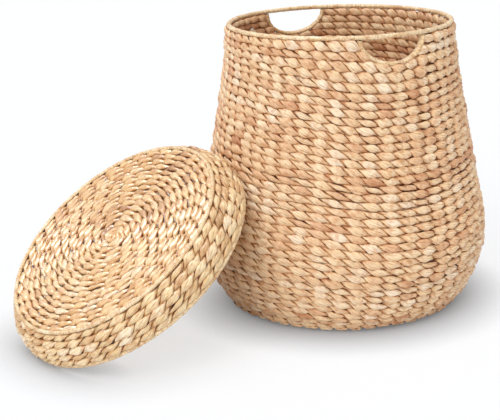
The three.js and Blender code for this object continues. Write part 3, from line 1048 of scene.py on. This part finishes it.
def curl(name, height, seed, body, nodes, finish):
    """A strand that winds inwards, with round noses."""
    tubes = tubes_for(CURL_RINGS, SIDES, False, 1, CURL_RING_STEP, False)
    along = tubes["along"]
    angle = 2 * math.pi * CURL_TURNS * along
    around = 2 * math.pi * tubes["around"]
    from_nose = np.clip(np.minimum(along, 1 - along) * CURL_NOSES, 0, 1)
    nose = np.sqrt(1 - (1 - from_nose) ** 2)
    far = CURL_OUT + (CURL_IN - CURL_OUT) * along + CURL_WIDE * nose * np.cos(around)
    high = height + CURL_HIGH * nose * np.sin(around)
    places = np.stack([far * np.cos(angle), far * np.sin(angle), high], axis=1)
    tone = CURL_TONE + wander(angle, seed, CURL_TONE_WAVES, CURL_TONE_WANDER)
    return add_piece(name, tubes, places, tone, np.ones_like(tone), body, nodes, finish)


lid_curl_height = LID_HEIGHT * MM - CURL_DEPTH
curl("lid_middle", lid_curl_height, seed=800, body="lid", nodes=["lid_top_weave"],
     finish=lid_top_finish)
curl("base_middle", CURL_DEPTH, seed=810, body="basket", nodes=["base_weave"],
     finish=wall_finish)
print("Curls:", CURL_TURNS, "turns each")

# %% [markdown]
# ## The wire frame
#
# The wires stay as the CAD model has them, because nothing could be added to a plain round wire. They lie
# inside the weave and show only as dark glints between two strands. Drawn mild steel is grey and fairly
# smooth. Here it is taken to be dulled by a brown film, as damp strands leave it, so the finish is half
# metal, with patches of film.

# %% Drawn steel wire under a brown film
FILM_PATCH = 6 * MM
FILM_TINTS = [(0.35, "#2A1D13"), (0.55, "#3A2E24"), (0.75, "#4A4642")]
FILM_ROUGHNESS = 0.85
WIRE_ROUGHNESS = 0.6


def drawn_steel(name):
    """Dark grey-brown wire, rougher where the film lies."""
    material, tree = new_finish(name)
    place = add_node(tree, "ShaderNodeTexCoord")
    film = add_node(tree, "ShaderNodeTexNoise", None,
                    {"Vector": place.outputs["Object"], "Scale": 1 / FILM_PATCH, "Detail": 4.0})
    tint = add_node(tree, "ShaderNodeValToRGB", None, {"Fac": film.outputs["Fac"]})
    set_ramp(tint, FILM_TINTS)
    rough = add_node(tree, "ShaderNodeMapRange", None,
                     {"Value": film.outputs["Fac"], "To Min": FILM_ROUGHNESS, "To Max": WIRE_ROUGHNESS})
    shader = add_node(tree, "ShaderNodeBsdfPrincipled", None,
                      {"Base Color": tint.outputs["Color"], "Metallic": 0.5,
                       "Roughness": rough.outputs["Result"]})
    add_node(tree, "ShaderNodeOutputMaterial", None, {"Surface": shader.outputs["BSDF"]})
    return material


steel = drawn_steel("drawn_steel_wire")
wires = [node for name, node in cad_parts.items()
         if "_rib_" in name or name.endswith(("_ring", "_hoop"))]
for wire in wires:
    wire.data.materials.clear()
    wire.data.materials.append(steel)
print("Wires:", len(wires))

# %% [markdown]
# ## Floor
#
# The photograph is a studio picture on white. A white floor lit by lamps alone comes out grey, and more
# light would bleach the basket. So most of what the camera sees of the floor is a plain white glow, the
# rest is lit paper that takes the lamps' shadows, and an Ambient Occlusion node shades the glow close to
# the basket, where it touches the floor.

# %% White floor that keeps the shadows
FLOOR_HALF = 20.0
CONTACT_REACH = 90 * MM
CONTACT_SHADE = [(0.2, "#7C7F82"), (0.96, "#FFFFFF")]
GLOW_SHARE = 0.7
PAPER_COLOUR = "#F4F8FF"


def seen_by_eye(tree):
    """1 for rays that show the background: straight from the camera, mirrored, or through glass."""
    rays = add_node(tree, "ShaderNodeLightPath")
    seen = rays.outputs["Is Camera Ray"]
    for kind in ("Is Glossy Ray", "Is Transmission Ray"):
        either = add_node(tree, "ShaderNodeMath", {"operation": "MAXIMUM"}, {0: seen, 1: rays.outputs[kind]})
        seen = either.outputs["Value"]
    return seen


def white_floor(name):
    """Matte white paper, with a glow that only the eye sees."""
    material, tree = new_finish(name)
    near = add_node(tree, "ShaderNodeAmbientOcclusion", {"samples": 16}, {"Distance": CONTACT_REACH})
    contact = add_node(tree, "ShaderNodeValToRGB", None, {"Fac": near.outputs["AO"]})
    set_ramp(contact, CONTACT_SHADE)
    glow = add_node(tree, "ShaderNodeEmission", None, {"Color": contact.outputs["Color"], "Strength": 1.0})
    paper = add_node(tree, "ShaderNodeBsdfPrincipled", None,
                     {"Base Color": linear(PAPER_COLOUR), "Roughness": 0.9, "Specular IOR Level": 0.1})
    share = add_node(tree, "ShaderNodeMath", {"operation": "MULTIPLY"},
                     {0: seen_by_eye(tree), 1: GLOW_SHARE})
    mixed = add_node(tree, "ShaderNodeMixShader", None,
                     {"Fac": share.outputs["Value"], 1: paper.outputs["BSDF"], 2: glow.outputs["Emission"]})
    add_node(tree, "ShaderNodeOutputMaterial", None, {"Surface": mixed.outputs["Shader"]})
    return material


bm = bmesh.new()
bmesh.ops.create_grid(bm, x_segments=4, y_segments=4, size=FLOOR_HALF)
floor_mesh = bpy.data.meshes.new("floor")
bm.to_mesh(floor_mesh)
bm.free()
floor_mesh.materials.append(white_floor("white_paper_floor"))
floor = bpy.data.objects.new("floor", floor_mesh)
scene.collection.objects.link(floor)
floor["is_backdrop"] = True
print("Floor:", 2 * FLOOR_HALF, "m across")

# %% [markdown]
# ## Light
#
# The studio's light is broad and soft, a little stronger from the left front. An area lamp would have to
# be large and near, and its strength would change with the distance, so wide suns are used: one from the
# left front and one from overhead. A third, narrower one is seen only in gloss and draws the sheen across
# the lid's top. The world adds even light from all sides and is white to the eye.

# %% World
AMBIENT = 0.5
world = bpy.data.worlds.new("studio")
scene.world = world
world.use_nodes = True
sky_tree = world.node_tree
sky_tree.nodes.clear()
level = add_node(sky_tree, "ShaderNodeMapRange", None,
                 {"Value": seen_by_eye(sky_tree), "To Min": AMBIENT, "To Max": 1.0})
sky = add_node(sky_tree, "ShaderNodeBackground", None,
               {"Color": linear("#FFFFFF"), "Strength": level.outputs["Result"]})
add_node(sky_tree, "ShaderNodeOutputWorld", None, {"Surface": sky.outputs["Background"]})
print("Even light:", AMBIENT)


# %% Lamps
def add_sun(name, toward, strength, spread):
    """A sun that shines along a direction and is spread over some degrees of sky."""
    lamp = bpy.data.lights.new(name, "SUN")
    lamp.energy = strength
    lamp.angle = math.radians(spread)
    holder = bpy.data.objects.new(name, lamp)
    holder.rotation_mode = "QUATERNION"
    holder.rotation_quaternion = Vector(toward).to_track_quat("-Z", "Y")
    scene.collection.objects.link(holder)
    return holder


lamps = [
    add_sun("lamp_left_front", (-0.5, 0.55, -0.67), strength=1.45, spread=40),
    add_sun("lamp_overhead", (0.0, 0.0, -1.0), strength=0.8, spread=40),
    add_sun("lamp_for_sheen", (0.165, 0.307, -0.936), strength=4.4, spread=16),
]

# The last one lights nothing by itself and is only seen mirrored
lamps[-1].visible_diffuse = False
print("Lamps:", [lamp.name for lamp in lamps])

# %% [markdown]
# ## Finish
#
# The render uses plain sRGB, so that the colours written above are the ones that show. At the end the
# triangles of all shown pieces are counted.

# %% View settings, triangles and the end
scene.view_settings.view_transform = "Standard"
bpy.context.view_layer.update()
triangles = 0
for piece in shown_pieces():
    piece.data.calc_loop_triangles()
    triangles += len(piece.data.loop_triangles)
print("Triangles in all:", triangles)
